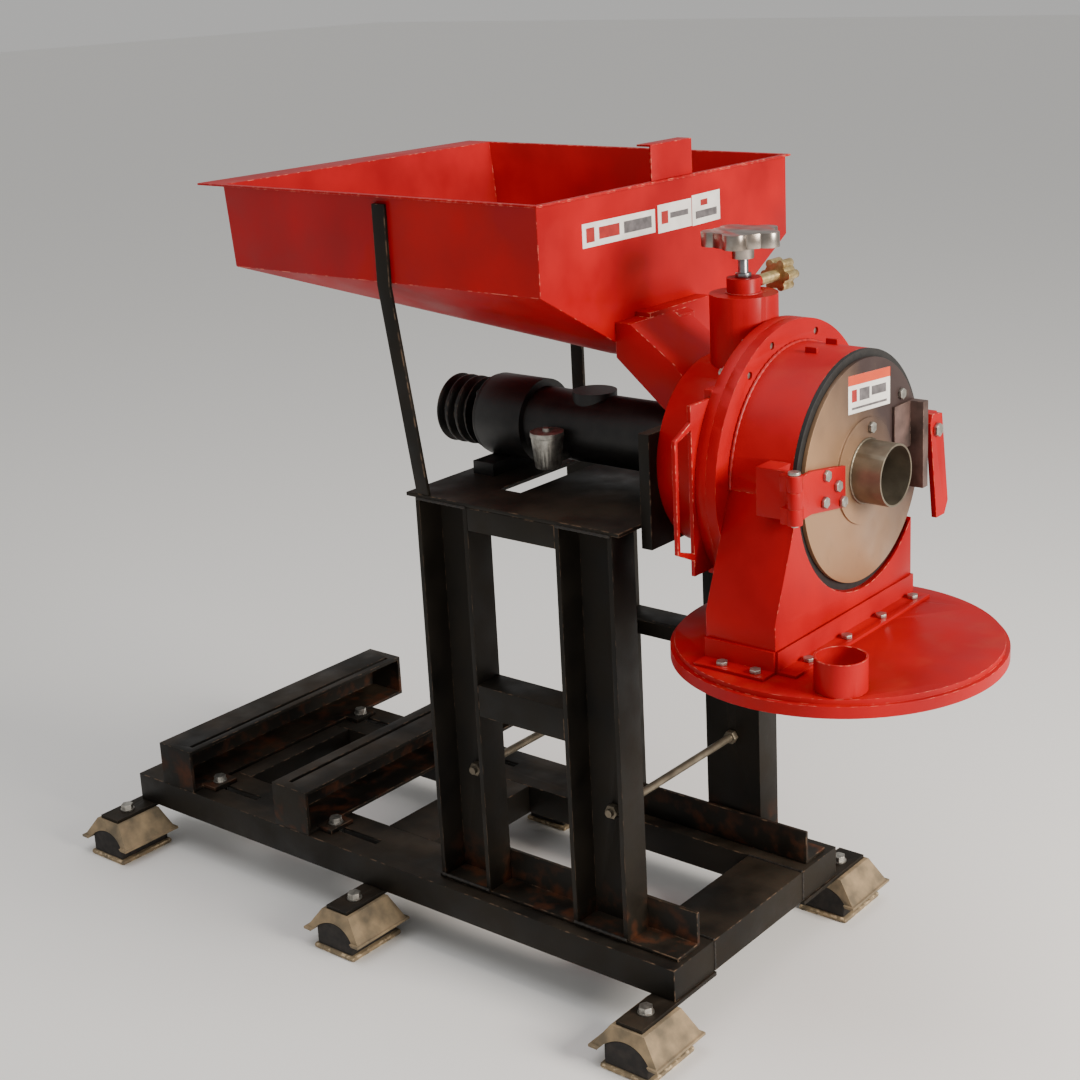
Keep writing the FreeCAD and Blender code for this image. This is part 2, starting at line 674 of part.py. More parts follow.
throat_end_low = plate_top + 3
throat_end_high = throat_end_low + 57
inner_rear = s.rear_radius - s.casing_wall
rear_shell = fuse(on_axis(rear_start, s.rear_radius, s.rear_length),
                  on_axis(flange_back, s.flange_radius, s.flange_thickness))
rear_inside = on_axis(rear_start + s.casing_wall, inner_rear, s.rear_length + s.flange_thickness)
feed_port = span(rear_start - 5, rear_start + 15, axis_y - s.throat_half_width + s.throat_wall,
                 axis_y + s.throat_half_width - s.throat_wall, throat_end_low + s.throat_wall,
                 throat_end_high - s.throat_wall)
slide_start = flange_back - s.running_gap - s.gate_thickness
slide_slot = span(slide_start - s.running_gap, flange_back, beside(-1, 200), beside(-1, 60),
                  axis_z - s.gate_half_height - s.running_gap,
                  axis_z + s.gate_half_height + s.running_gap)


def slide_guide(up):
    edge = axis_z + up * (s.gate_half_height + s.running_gap)
    low = edge if up > 0 else edge - 10
    lip_low = edge - 10 if up > 0 else edge
    wall = block(slide_start - 6, beside(-1, 150), low, flange_back - slide_start + 6, 78, 10)
    lip = block(slide_start - 6, beside(-1, 150), lip_low, 6 - s.running_gap, 60, 10)
    return fuse(wall, lip)


bolt_angles = (128, 108, 72, 46, 10, -22)
flange_holes = [rod(flange_back - 5, *polar(s.flange_bolt_circle, angle), 5.5,
                    2 * s.flange_thickness + 10) for angle in bolt_angles]
tower_port = rod(s.tower_at, axis_y, axis_z + 90, s.tower_radius - s.tower_wall - 8, 60, "z")
keep("rear_casing", cut(fuse(rear_shell, slide_guide(1), slide_guide(-1)), rear_inside, feed_port,
                        slide_slot, tower_port, on_axis(rear_start - 5, s.shaft_radius + 2, 20),
                        *flange_holes))

drum_inner = s.drum_radius - s.casing_wall
front_flange = axis_ring(flange_middle, s.flange_radius, drum_inner, s.flange_thickness)
drum_shell = axis_ring(drum_start, s.drum_radius, drum_inner, s.drum_length)
below_axis = span(drum_start - 1, drum_end + 1, beside(-1, 300), beside(1, 300),
                  axis_z - 300, axis_z)
door_ring = axis_ring(drum_end - s.door_ring_thickness, drum_inner, s.door_ring_bore,
                      s.door_ring_thickness)
lug_depth = s.gasket_thickness + s.door_thickness + 8
latch_lug = cut(span(drum_end - 20, drum_end + lug_depth, s.lever_pivot_y - 18,
                     s.lever_pivot_y + 17, lever_pivot_z - 16, lever_pivot_z + 22),
                on_axis(drum_end - 60, s.drum_radius - 1, 200),
                on_axis(drum_end, s.drum_radius + s.running_gap, 60),
                rod(drum_end - 10, s.lever_pivot_y, lever_pivot_z, s.lever_pin_radius + 0.02, 60))
hinge_z = axis_z + 14
bracket_plate = span(drum_end - 34, s.hinge_at - 10, s.hinge_y + 8, s.hinge_y + 15,
                     hinge_z - s.hinge_half_height, hinge_z + s.hinge_half_height)
bracket_pack = cut(span(drum_end - 34, drum_end - 4, s.hinge_y + 8, beside(-1, 150), axis_z + 1,
                        hinge_z + s.hinge_half_height),
                   on_axis(drum_end - 60, s.drum_radius - 1, 200))
knuckle_half = s.hinge_half_height / 3
bracket_knuckles = []
for low in (hinge_z - s.hinge_half_height, hinge_z + knuckle_half + 0.25):
    tall = s.hinge_half_height - knuckle_half - 0.25
    bracket_knuckles.append(block(s.hinge_at - 17, s.hinge_y - 7, low, 10, 18, tall))
    bracket_knuckles.append(rod(s.hinge_at, s.hinge_y, low, s.hinge_radius, tall, "z"))
pin_bore = rod(s.hinge_at, s.hinge_y, hinge_z - 60, s.hinge_pin_radius + s.fit_gap, 120, "z")
keep("front_casing", cut(fuse(front_flange, cut(drum_shell, below_axis), door_ring, latch_lug,
                              bracket_plate, bracket_pack, *bracket_knuckles),
                         pin_bore, *flange_holes))

hinge_pin = fuse(
    rod(s.hinge_at, s.hinge_y, hinge_z - s.hinge_half_height - 3, s.hinge_pin_radius,
        2 * s.hinge_half_height + 6, "z"),
    rod(s.hinge_at, s.hinge_y, hinge_z + s.hinge_half_height + 0.3, s.hinge_pin_radius + 3, 4, "z"))
casing_bolts = [fuse(
    rod(flange_back - 14, *polar(s.flange_bolt_circle, angle), 5,
        2 * s.flange_thickness + 14 - s.bolt_recess),
    hexagon(flange_back - 8, *polar(s.flange_bolt_circle, angle), 9, 8, "x"))
    for angle in bolt_angles]
keep("door_gasket", axis_ring(drum_end, s.drum_radius, s.door_ring_bore, s.gasket_thickness))

# ---------------------------------------------------------------- chute, screen and tray
kink = chute_kink - axis_z
foot = chute_foot - axis_z


def chute_outline(wall, over, under):
    """The chute seen from the door, about the shaft axis."""
    return [(wall - s.drum_radius, over), (wall - s.chute_near, kink),
            (wall - s.chute_near, foot - under), (s.chute_far - wall, foot - under),
            (s.chute_far - wall, over)]


chute_length = s.chute_front - drum_start
chute_outer = prism(chute_outline(0, 0, 0), chute_length, drum_start, axis_y, axis_z, ALONG_X)
chute_inner = prism(chute_outline(s.chute_wall, 2, 5), chute_length - 2 * s.chute_wall,
                    drum_start + s.chute_wall, axis_y, axis_z, ALONG_X)
lower_drum = common(on_axis(drum_start, s.drum_radius, s.drum_length),
                    span(drum_start, drum_end, beside(-1, 250), beside(1, 250), axis_z - 250, axis_z))
keep("discharge_chute", cut(fuse(chute_outer, lower_drum), chute_inner,
                            on_axis(drum_start - 5, drum_inner, s.drum_length + 5),
                            on_axis(drum_end, s.chute_cutout, 60)))

near_edge = beside(-1, s.chute_near)


def chute_angle_along_x():
    flat = block(drum_start, near_edge - s.chute_flange, chute_foot,
                 s.chute_front - drum_start, s.chute_flange, s.flange_bar)
    upright = block(drum_start, near_edge - s.flange_bar, chute_foot,
                    s.chute_front - drum_start, s.flange_bar, s.chute_flange)
    return fuse(flat, upright)


def chute_angle_along_y():
    long = s.chute_near + s.chute_far
    flat = block(s.chute_front, near_edge, chute_foot, s.chute_flange, long, s.flange_bar)
    upright = block(s.chute_front, near_edge, chute_foot, s.flange_bar, long, s.chute_flange)
    return fuse(flat, upright)


tray_bolt_places = [(drum_start + 35, near_edge - 0.55 * s.chute_flange),
                    (s.chute_front - 20, near_edge - 0.55 * s.chute_flange)]
for share in (0.15, 0.42, 0.68, 0.93):
    tray_bolt_places.append((s.chute_front + 0.55 * s.chute_flange,
                             near_edge + share * (s.chute_near + s.chute_far)))
tray_under = chute_foot - s.tray_thickness
tray_bolts = [fuse(
    hexagon(x, y, chute_foot + s.flange_bar, 8, 5),
    rod(x, y, tray_under - 9, 4, 16 + s.flange_bar, "z"),
    hexagon(x, y, tray_under - 6, 8, 6)) for x, y in tray_bolt_places]
keep("casing_bolts", group(*casing_bolts, *tray_bolts))
bolt_holes = [rod(x, y, tray_under - 5, 4.5, 30, "z") for x, y in tray_bolt_places]
keep("chute_flanges", group(cut(chute_angle_along_x(), *bolt_holes[:2]),
                            cut(chute_angle_along_y(), *bolt_holes[2:])))

drop = s.tray_rim_drop
tray = turned(
    [(drop, 0), (drop, s.tray_radius - s.tray_rim_step), (drop - 7, s.tray_radius - s.tray_rim_step),
     (drop - 7, s.tray_radius), (0, s.tray_radius), (0, s.tray_radius - 3),
     (drop - 10, s.tray_radius - 3), (drop - 10, s.tray_radius - s.tray_rim_step - 3),
     (drop - s.tray_thickness, s.tray_radius - s.tray_rim_step - 3), (drop - s.tray_thickness, 0)],
    s.tray_at, s.tray_y, chute_foot - drop, STAND_Z)
tray_mouth = span(drum_start + s.chute_wall, s.chute_front - s.chute_wall,
                  near_edge + s.chute_wall, beside(1, s.chute_far) - s.chute_wall,
                  chute_foot - 20, chute_foot + 5)
collar_bore = rod(s.collar_at, s.collar_y, chute_foot - 30, s.collar_radius - s.collar_wall, 120, "z")
keep("tray_disc", cut(tray, tray_mouth, collar_bore, *bolt_holes))
keep("tray_collar", ring(s.collar_at, s.collar_y, chute_foot, s.collar_radius,
                         s.collar_radius - s.collar_wall, s.collar_height, STAND_Z))

screen = axis_ring(drum_start + s.running_gap, s.screen_bore + s.screen_thickness, s.screen_bore,
                   s.drum_length - s.door_ring_thickness - 2 * s.running_gap)
SCREEN_SLOTS = 18
screen_slots = []
for index in range(SCREEN_SLOTS):
    y, z = polar(s.screen_bore, 185 + 170.0 * index / (SCREEN_SLOTS - 1))
    screen_slots.append(block(drum_start + 14, y - 3, z - 3, s.drum_length - 34, 6, 6))
keep("screen_ring", cut(screen, *screen_slots))

# ---------------------------------------------------------------- rotor
PIN_ANGLES = (45, 135, 225, 315)
bay_width = s.disc_pitch - s.disc_thickness


def rotor_disc(x):
    disc = axis_ring(x, s.disc_radius, s.shaft_radius + 0.02, s.disc_thickness)
    return cut(disc, *[rod(x - 5, *polar(s.pin_circle, angle), s.pin_radius + 0.02, 20)
                       for angle in PIN_ANGLES])


disc_starts = [s.disc_rear_at + s.disc_pitch * index for index in range(3)]
keep("rotor_discs", group(*[rotor_disc(x) for x in disc_starts]))
hub_sleeves = [axis_ring(x + s.disc_thickness, s.shaft_radius + 3, s.shaft_radius + 0.02, bay_width)
               for x in disc_starts[:2]]
pin_start = s.disc_rear_at - 5
keep("hammer_pins", group(*[
    rod(pin_start, *polar(s.pin_circle, angle), s.pin_radius, rotor_front + 5 - pin_start)
    for angle in PIN_ANGLES]))


def hammer_start(index):
    bay = disc_starts[index % 2] + s.disc_thickness
    return bay + (bay_width - s.hammer_thickness) / 2


def spacer(x, length, angle):
    y, z = polar(s.pin_circle, angle)
    return ring(x, y, z, s.spacer_radius, s.pin_radius + 0.02, length)


side_spacer = (bay_width - s.hammer_thickness) / 2 - 0.2
spacers = []
for index, angle in enumerate(PIN_ANGLES):
    own_bay = disc_starts[index % 2] + s.disc_thickness
    other_bay = disc_starts[1 - index % 2] + s.disc_thickness
    spacers.append(spacer(own_bay, side_spacer, angle))
    spacers.append(spacer(own_bay + bay_width - side_spacer, side_spacer, angle))
    spacers.append(spacer(other_bay, bay_width, angle))
keep("rotor_spacers", group(*hub_sleeves, *spacers))

for index, angle in enumerate(PIN_ANGLES):
    y, z = polar(s.pin_circle, angle)
    x = hammer_start(index)
    bar = block(x, y - s.hammer_width / 2, z - s.hammer_reach, s.hammer_thickness,
                s.hammer_width, s.hammer_reach + s.hammer_tail)
    keep("hammer_%d" % (index + 1), cut(bar, rod(x - 5, y, z, s.pin_radius + 0.08, 20)))

blade_reach = s.impeller_radius - s.impeller_hub + 4
impeller = [axis_ring(s.impeller_at, s.impeller_hub, s.shaft_radius + 0.02, s.impeller_length)]
for side in SIDES:
    level_y = s.impeller_hub - 4 if side > 0 else -s.impeller_radius
    impeller.append(block(s.impeller_at, axis_y + level_y, axis_z - s.blade_thickness / 2,
                          s.impeller_length, blade_reach, s.blade_thickness))
    impeller.append(block(s.impeller_at, axis_y - s.blade_thickness / 2, axis_z + level_y,
                          s.impeller_length, s.blade_thickness, blade_reach))
keep("feed_impeller", fuse(*impeller))

# ---------------------------------------------------------------- door
door_start = drum_end + s.gasket_thickness + s.running_gap
door_front = door_start + s.door_thickness
inlet_bore = on_axis(door_start - 5, s.inlet_radius - s.inlet_wall, 40)
door_plate = fuse(on_axis(door_start, s.door_radius, s.door_thickness),
                  on_axis(door_front, s.boss_ring_radius, s.boss_ring_thickness))
keep("door_disc", cut(door_plate, inlet_bore))
boss_front = door_front + s.boss_ring_thickness
keep("air_inlet_pipe", axis_ring(boss_front, s.inlet_radius, s.inlet_radius - s.inlet_wall,
                                 s.inlet_length - s.boss_ring_thickness))

strap_back = boss_front
strap_front = strap_back + s.strap_thickness
half_strap = s.strap_height / 2
strap_low = hinge_z - s.strap_fall - half_strap
strap_top = hinge_z + half_strap
strap_start = s.hinge_y + s.hinge_radius + 2
strap_sheet = prism(
    [(s.hinge_at, strap_start), (s.hinge_at + s.strap_thickness, strap_start),
     (strap_front, s.strap_bend), (strap_front, s.strap_end), (strap_back, s.strap_end),
     (strap_back, s.strap_bend)],
    strap_top - strap_low, 0, 0, strap_low, ALONG_Z)
strap_pack = span(door_front, strap_back, s.strap_bend + 4, beside(-1, s.boss_ring_radius + 2),
                  strap_low, strap_top)
# the strap falls from the hinge towards the pipe
strap_side = prism(
    [(strap_start, hinge_z - half_strap), (s.strap_end, strap_low),
     (s.strap_end, strap_top - s.strap_fall), (strap_start, strap_top)],
    s.hinge_at + s.strap_thickness - door_front, door_front, 0, 0, ALONG_X)
strap_plate = common(fuse(strap_sheet, strap_pack), strap_side)
strap_tongue = block(s.hinge_at, s.hinge_y, hinge_z - knuckle_half, s.strap_thickness, 14,
                     2 * knuckle_half)
door_knuckle = rod(s.hinge_at, s.hinge_y, hinge_z - knuckle_half, s.hinge_radius,
                   2 * knuckle_half, "z")
keep("door_hinge_strap", cut(fuse(strap_plate, strap_tongue, door_knuckle), pin_bore))

latch_low = axis_z - 52
bar_outer = block(door_front, s.latch_bar_y, latch_low, s.latch_bar_depth, s.latch_bar_width,
                  s.latch_bar_height)
bar_leg = span(door_front, door_front + 4, beside(1, s.boss_ring_radius + 3), s.latch_bar_y + 2,
               axis_z + 6, axis_z + 70)
keep("door_latch_bar", fuse(bar_outer, bar_leg))

strap_bolts = [(s.strap_end - 49, hinge_z + 8), (s.strap_end - 21.4, hinge_z - 12.6),
               (s.strap_end - 53.8, hinge_z - 26.2), (s.strap_end - 9, hinge_z - 36.8)]
plate_bolts = [(beside(1, 12), axis_z + 57), (beside(1, 98), axis_z + 84)]
bolt_group = [hexagon(strap_front, y, z, 8, 5, "x") for y, z in strap_bolts]
bolt_group.append(hexagon(boss_front, *plate_bolts[0], 8, 5, "x"))
bolt_group.append(hexagon(door_front, *plate_bolts[1], 8, 5, "x"))
keep("door_bolts", group(*bolt_group))

lever_start = drum_end + lug_depth + s.running_gap
half_lever = s.lever_width / 2
lever_points = [(-half_lever, 12), (-half_lever + 7, 24), (half_lever, 20),
                (half_lever + 20, -s.lever_length + 18),
                (half_lever + 10, -s.lever_length), (20 - half_lever, -s.lever_length)]
lever = prism(lever_points, s.lever_thickness, lever_start, s.lever_pivot_y, lever_pivot_z, ALONG_X)
keep("latch_lever", cut(lever, rod(lever_start - 5, s.lever_pivot_y, lever_pivot_z,
                                   s.lever_pin_radius + s.fit_gap, 30)))
latch_pin = fuse(
    rod(drum_end - 8, s.lever_pivot_y, lever_pivot_z, s.lever_pin_radius,
        lever_start + s.lever_thickness + 2 - drum_end + 8),
    hexagon(lever_start + s.lever_thickness + s.running_gap, s.lever_pivot_y, lever_pivot_z, 10, 6,
            "x"))
keep("pivot_pins", group(hinge_pin, latch_pin))

# ---------------------------------------------------------------- regulator tower
tower_foot = axis_z + s.rear_radius * 0.9
tower = rod(s.tower_at, axis_y, tower_foot, s.tower_radius, tower_top - tower_foot, "z")
tower_bore = rod(s.tower_at, axis_y, tower_foot - 5, s.tower_radius - s.tower_wall,
                 tower_top - s.tower_wall - tower_foot + 5, "z")
tower_collar = rod(s.tower_at, axis_y, tower_top, s.tower_collar_radius, s.tower_collar_height, "z")
knob_boss = rod(s.tower_at, axis_y + 15, tower_top + s.tower_collar_height / 2, 9, 19, "y")
stem_bore = rod(s.tower_at, axis_y, tower_top - 20, s.stem_radius + s.fit_gap, 60, "z")
screw_bore = rod(s.tower_at, axis_y + 10, tower_top + s.tower_collar_height / 2,
                 4 + s.fit_gap, 40, "y")
keep("regulator_tower", cut(fuse(cut(tower, tower_bore), tower_collar, knob_boss),
                            on_axis(rear_start - 5, s.rear_radius, s.rear_length + 10), stem_bore,
                            screw_bore))

stem_low = plug_level - 8
keep("regulator_stem", fuse(
    rod(s.tower_at, axis_y, stem_low, s.stem_radius, hub_level + s.hub_height - stem_low, "z"),
    rod(s.tower_at, axis_y, tower_top + s.tower_collar_height + s.running_gap, 11, 6, "z")))
wheel_level = hub_level + s.hub_height
LOBES = 5
lobes = []
for index in range(LOBES):
    lobe = doc.addObject("Part::Cylinder", "Lobe")
    bind(lobe, "Radius", s.wheel_radius * 0.3)
    bind(lobe, "Height", s.wheel_thickness)
    put(lobe, s.tower_at, axis_y, wheel_level)
    for axis, turn in (("x", "cos"), ("y", "sin")):
        centre = s.tower_at if axis == "x" else axis_y
        lobe.setExpression("Placement.Base." + axis, "%s + %s * %s(%s deg)" % (
            centre.text, (s.wheel_radius * 0.7).text, turn, 360.0 * index / LOBES))
    lobes.append(lobe)
wheel = fuse(rod(s.tower_at, axis_y, wheel_level, s.wheel_radius * 0.78, s.wheel_thickness, "z"), *lobes)
hub = rod(s.tower_at, axis_y, hub_level, s.hub_radius, s.hub_height, "z")
wheel_bore = rod(s.tower_at, axis_y, hub_level - 5, s.stem_radius + 0.02, s.hub_height + 5, "z")
keep("regulator_handwheel", cut(fuse(wheel, hub), wheel_bore))
keep("valve_plug", ring(s.tower_at, axis_y, plug_level, s.tower_radius - s.tower_wall - s.running_gap,
                        s.stem_radius + s.fit_gap, s.plug_height, STAND_Z))

knob_z = tower_top + s.tower_collar_height / 2
knob_start = axis_y + 78
points_of_knob = [rod(s.tower_at, knob_start, knob_z, s.knob_radius * 0.8, s.knob_length, "y")]
KNOB_POINTS = 6
for index in range(KNOB_POINTS):
    point = doc.addObject("Part::Cylinder", "KnobPoint")
    bind(point, "Radius", s.knob_radius * 0.28)
    bind(point, "Height", s.knob_length)
    put(point, s.tower_at, knob_start, knob_z, LIE_Y)
    for axis, turn in (("x", "cos"), ("z", "sin")):
        centre = s.tower_at if axis == "x" else knob_z
        point.setExpression("Placement.Base." + axis, "%s + %s * %s(%s deg)" % (
            centre.text, (s.knob_radius * 0.8).text, turn, 360.0 * index / KNOB_POINTS))
    points_of_knob.append(point)
keep("lock_knob", fuse(
    *points_of_knob,
    rod(s.tower_at, axis_y + 34 + s.running_gap, knob_z, 8, 44 - s.running_gap, "y"),
    rod(s.tower_at, axis_y + 14, knob_z, 4, 30, "y")))

# ---------------------------------------------------------------- slide plate at the casing side
gate_face = span(slide_start, slide_start + s.gate_thickness, beside(-1, s.gate_outer),
                 beside(-1, s.gate_inner), axis_z - s.gate_half_height, axis_z + s.gate_half_height)


def grip_outline(inset):
    edge = -s.gate_outer
    return [(edge + inset, -s.grip_root_half + inset), (edge + inset, s.grip_root_half - inset),
            (edge - s.grip_reach + inset, s.grip_half_height - inset / 2),
            (edge - s.grip_reach + inset, -s.grip_half_height + inset / 2)]


grip = cut(prism(grip_outline(0), s.gate_thickness, slide_start, axis_y, axis_z, ALONG_X),
           prism([(u if n > 1 else u + 5, v) for n, (u, v) in enumerate(grip_outline(s.grip_thickness))],
                 s.gate_thickness + 10, slide_start - 5, axis_y, axis_z, ALONG_X))
keep("side_slide_plate", fuse(gate_face, grip))

# ---------------------------------------------------------------- hopper
bin_width = s.bin_far - s.bin_near


def bin_rectangle(level, start, end, near, far, inset):
    return plate_at(start + inset, near + inset, level, end - start - 2 * inset,
                    far - near - 2 * inset)


def bin_solid(inset, low_lift):
    top = bin_rectangle(bin_top, s.bin_rear_top, s.bin_front, s.bin_near, s.bin_far, inset)
    waist = bin_rectangle(bin_waist, s.bin_rear_low, s.bin_front, s.bin_near, s.bin_far, inset)
    waist_again = bin_rectangle(bin_waist, s.bin_rear_low, s.bin_front, s.bin_near, s.bin_far, inset)
    low = bin_rectangle(bin_bottom + low_lift, s.bin_front - s.outlet_length, s.bin_front,
                        s.outlet_near, s.outlet_far, inset)
    return loft(top, waist), loft(waist_again, low)


outer_box, outer_funnel = bin_solid(0, 0)
inner_box, inner_funnel = bin_solid(s.bin_wall, s.bin_wall)
rim = span(s.bin_rear_top - s.rim_rear_lip, s.bin_front + s.rim_lip, s.bin_near - s.rim_lip,
           s.bin_far + s.rim_lip, bin_top - s.rim_thickness, bin_top)
bin_inner_face = s.bin_front - s.bin_wall
port = span(bin_inner_face - 5, s.bin_front + 5, s.port_near, s.port_far, port_low,
            port_low + s.port_height)
gate_front = bin_inner_face - s.running_gap
gate_back = gate_front - s.bin_wall


def gate_runner(side):
    edge = s.feed_gate_near - s.running_gap if side < 0 else s.feed_gate_far + s.running_gap
    low, high = (edge - 6, edge) if side < 0 else (edge, edge + 6)
    lip_low, lip_high = (edge - 6, edge + 8) if side < 0 else (edge - 8, edge + 6)
    level = bin_bottom + 40
    wall = span(gate_back - 3, bin_inner_face, low, high, level, bin_top - 15)
    lip = span(gate_back - 3, gate_back - s.running_gap, lip_low, lip_high, level, bin_top - 15)
    return fuse(wall, lip)


bin_shell = cut(fuse(outer_box, outer_funnel, rim), inner_box, inner_funnel, port)
keep("hopper_bin", fuse(bin_shell, gate_runner(-1), gate_runner(1)))

gate_low = bin_bottom + s.bin_wall + s.running_gap
keep("feed_gate", fuse(
    span(gate_back, gate_front, s.feed_gate_near, s.feed_gate_far, gate_low, feed_gate_top),
    span(gate_back - s.feed_gate_lip, gate_front, s.feed_gate_near, s.feed_gate_far,
         feed_gate_top - s.bin_wall, feed_gate_top)))

guide_top = guide_low + s.guide_height
guide_end = s.bin_front + s.guide_depth
throat_top = guide_top - 7


def throat_outline(wall):
    """The throat seen from the side, in X and Z."""
    return [(s.bin_front + wall, bin_bottom + 11 + wall), (rear_start - 35, throat_end_low + 9 + wall),
            (rear_start, throat_end_low + wall), (rear_start, throat_end_high - wall),
            (rear_start - 15, throat_end_high + 17 - wall), (guide_end, throat_top - wall),
            (s.bin_front + wall, throat_top - wall)]


throat_outer = prism(throat_outline(0), 2 * s.throat_half_width, 0, beside(1, s.throat_half_width),
                     0, ALONG_Y)
throat_inner = prism(throat_outline(s.throat_wall), 2 * (s.throat_half_width - s.throat_wall), 0,
                     beside(1, s.throat_half_width - s.throat_wall), 0, ALONG_Y)
guide_outer = span(s.bin_front, guide_end, s.guide_near, s.guide_far, guide_low, guide_top)
guide_inner = span(s.bin_front - 1, guide_end - s.throat_wall, s.guide_near + s.throat_wall,
                   s.guide_far - s.throat_wall, guide_low + s.throat_wall, guide_top - s.throat_wall)
wedge = prism([(guide_end, guide_top - 7), (guide_end + 12, guide_top - 12),
               (guide_end + 12, guide_top - 100), (guide_end, guide_top - 96)],
              34, 0, s.guide_near + 90, 0, ALONG_Y)
keep("feed_throat", cut(fuse(throat_outer, guide_outer, wedge), throat_inner, guide_inner))

strut_near_wall = s.bin_near - s.strut_thickness
strut_bend = bin_waist - 5
near_strut = fuse(
    block(s.strut_top_at, strut_near_wall, strut_bend, s.strut_width, s.strut_thickness,
          bin_top - 12 - strut_bend),
    loft(plate_at(s.strut_foot_at, beside(-1, s.table_half_width), table_top, s.strut_width,
                  s.strut_thickness),
         plate_at(s.strut_top_at, strut_near_wall, strut_bend, s.strut_width, s.strut_thickness)))
far_strut = cut(block(s.strut_top_at, beside(1, s.table_half_width) - s.strut_thickness, table_top,
                      s.strut_width, s.strut_thickness, bin_waist - table_top), outer_funnel)
keep("hopper_struts", group(near_strut, far_strut))

# ---------------------------------------------------------------- write
doc.recompute()
for item in doc.Objects:
    if "Invalid" in item.State or "Error" in item.State:
        raise RuntimeError("%s (%s) did not compute: %s" % (item.Name, item.Label, item.State))
for item in PARTS:
    if item.Shape.isNull() or not item.Shape.isValid() or not item.Shape.Solids:
        raise RuntimeError("%s has no valid solid" % item.Label)

os.makedirs("parts", exist_ok=True)
for item in PARTS:
    item.Shape.exportStep(os.path.join("parts", item.Label + ".step"))
print("%d sub-parts" % len(PARTS))
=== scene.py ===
"""Hammer mill on a channel stand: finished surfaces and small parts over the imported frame."""
import json
import math

import bmesh
import bpy
from mathutils import Matrix, Vector


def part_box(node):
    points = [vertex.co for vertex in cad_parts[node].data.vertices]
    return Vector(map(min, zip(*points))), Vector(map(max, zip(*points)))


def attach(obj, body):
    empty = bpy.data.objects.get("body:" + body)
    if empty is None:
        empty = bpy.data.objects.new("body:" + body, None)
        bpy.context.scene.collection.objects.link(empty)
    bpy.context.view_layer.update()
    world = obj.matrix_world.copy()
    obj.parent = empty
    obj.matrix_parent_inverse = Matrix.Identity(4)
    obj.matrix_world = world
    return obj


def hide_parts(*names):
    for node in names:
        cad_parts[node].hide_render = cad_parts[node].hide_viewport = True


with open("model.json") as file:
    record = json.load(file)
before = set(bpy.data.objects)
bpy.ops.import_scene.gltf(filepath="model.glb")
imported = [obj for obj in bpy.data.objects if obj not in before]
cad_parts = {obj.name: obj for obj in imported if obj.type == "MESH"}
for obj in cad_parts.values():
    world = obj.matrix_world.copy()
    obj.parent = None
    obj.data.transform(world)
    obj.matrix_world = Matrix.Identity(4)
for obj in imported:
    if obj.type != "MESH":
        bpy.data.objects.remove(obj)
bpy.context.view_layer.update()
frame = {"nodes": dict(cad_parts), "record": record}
NODES = frame["nodes"]
MM = 0.001
PER_METRE = 1000.0
# heights of the rust at the posts' feet, in metres: where it starts, where it begins to fade, where it
# ends, and the short rise from none to full at the start
RUST_FOOT, RUST_FULL, RUST_END, RUST_RISE = 0.127, 0.135, 0.2, 0.002


# ------------------------------------------------------------------ camera
def place_camera(position, forward, roll, lens, shift):
    data = bpy.data.cameras.new("Camera")
    data.lens = lens
    data.shift_x, data.shift_y = shift
    camera = bpy.data.objects.new("Camera", data)
    bpy.context.scene.collection.objects.link(camera)
    turn = Vector(forward).to_track_quat("-Z", "Y").to_matrix()
    turn = turn @ Matrix.Rotation(math.radians(roll), 3, "Z")
    camera.matrix_world = Matrix.Translation(position) @ turn.to_4x4()
    bpy.context.scene.camera = camera


place_camera(position=(1.758, -2.0577, 1.5049), forward=(-0.5929, 0.7551, -0.2798), roll=-2.33,
             lens=60.61, shift=(-0.0688, -0.0579))


# ------------------------------------------------------------------ materials
def linear(code):
    """A paint chip's sRGB hex code as linear colour."""
    parts = [int(code[i:i + 2], 16) / 255 for i in (0, 2, 4)]
    return tuple(p / 12.92 if p <= 0.04045 else ((p + 0.055) / 1.055) ** 2.4 for p in parts) + (1.0,)


def add(material, kind, sockets, **properties):
    """One shader node. Each socket, by name or number, is given a value or another node's output."""
    node = material.node_tree.nodes.new(kind)
    for name, value in properties.items():
        setattr(node, name, value)
    for socket, value in sockets.items():
        if isinstance(value, bpy.types.NodeSocket):
            material.node_tree.links.new(value, node.inputs[socket])
        else:
            node.inputs[socket].default_value = value
    return node


def new_material(name, **shader):
    material = bpy.data.materials.new(name)
    material.use_nodes = True
    surface = material.node_tree.nodes["Principled BSDF"]
    for socket, value in shader.items():
        surface.inputs[socket.replace("_", " ")].default_value = value
    return material, surface


def patches(material, size_mm, start, full, most=1.0, least=0.0, detail=4.0, within=None):
    """Soft patches of about a size, from least up to most, and only within a mask where one is given."""
    place = add(material, "ShaderNodeTexCoord", {})
    cloud = add(material, "ShaderNodeTexNoise", {"Vector": place.outputs["Object"],
                                                 "Scale": PER_METRE / size_mm, "Detail": detail})
    spread = add(material, "ShaderNodeMapRange", {"Value": cloud.outputs["Fac"], "From Min": start,
                                                  "From Max": full, "To Min": least, "To Max": most})
    if within is None:
        return spread.outputs[0]
    return add(material, "ShaderNodeMath", {0: within, 1: spread.outputs[0]},
               operation="MULTIPLY").outputs[0]


def layered(material, ground, coats):
    """A ground colour with coats over it, each a mask and a hex code."""
    colour = linear(ground)
    for mask, code in coats:
        coat = add(material, "ShaderNodeMix", {0: mask, 6: colour, 7: linear(code)}, data_type="RGBA")
        colour = coat.outputs[2]
    return colour


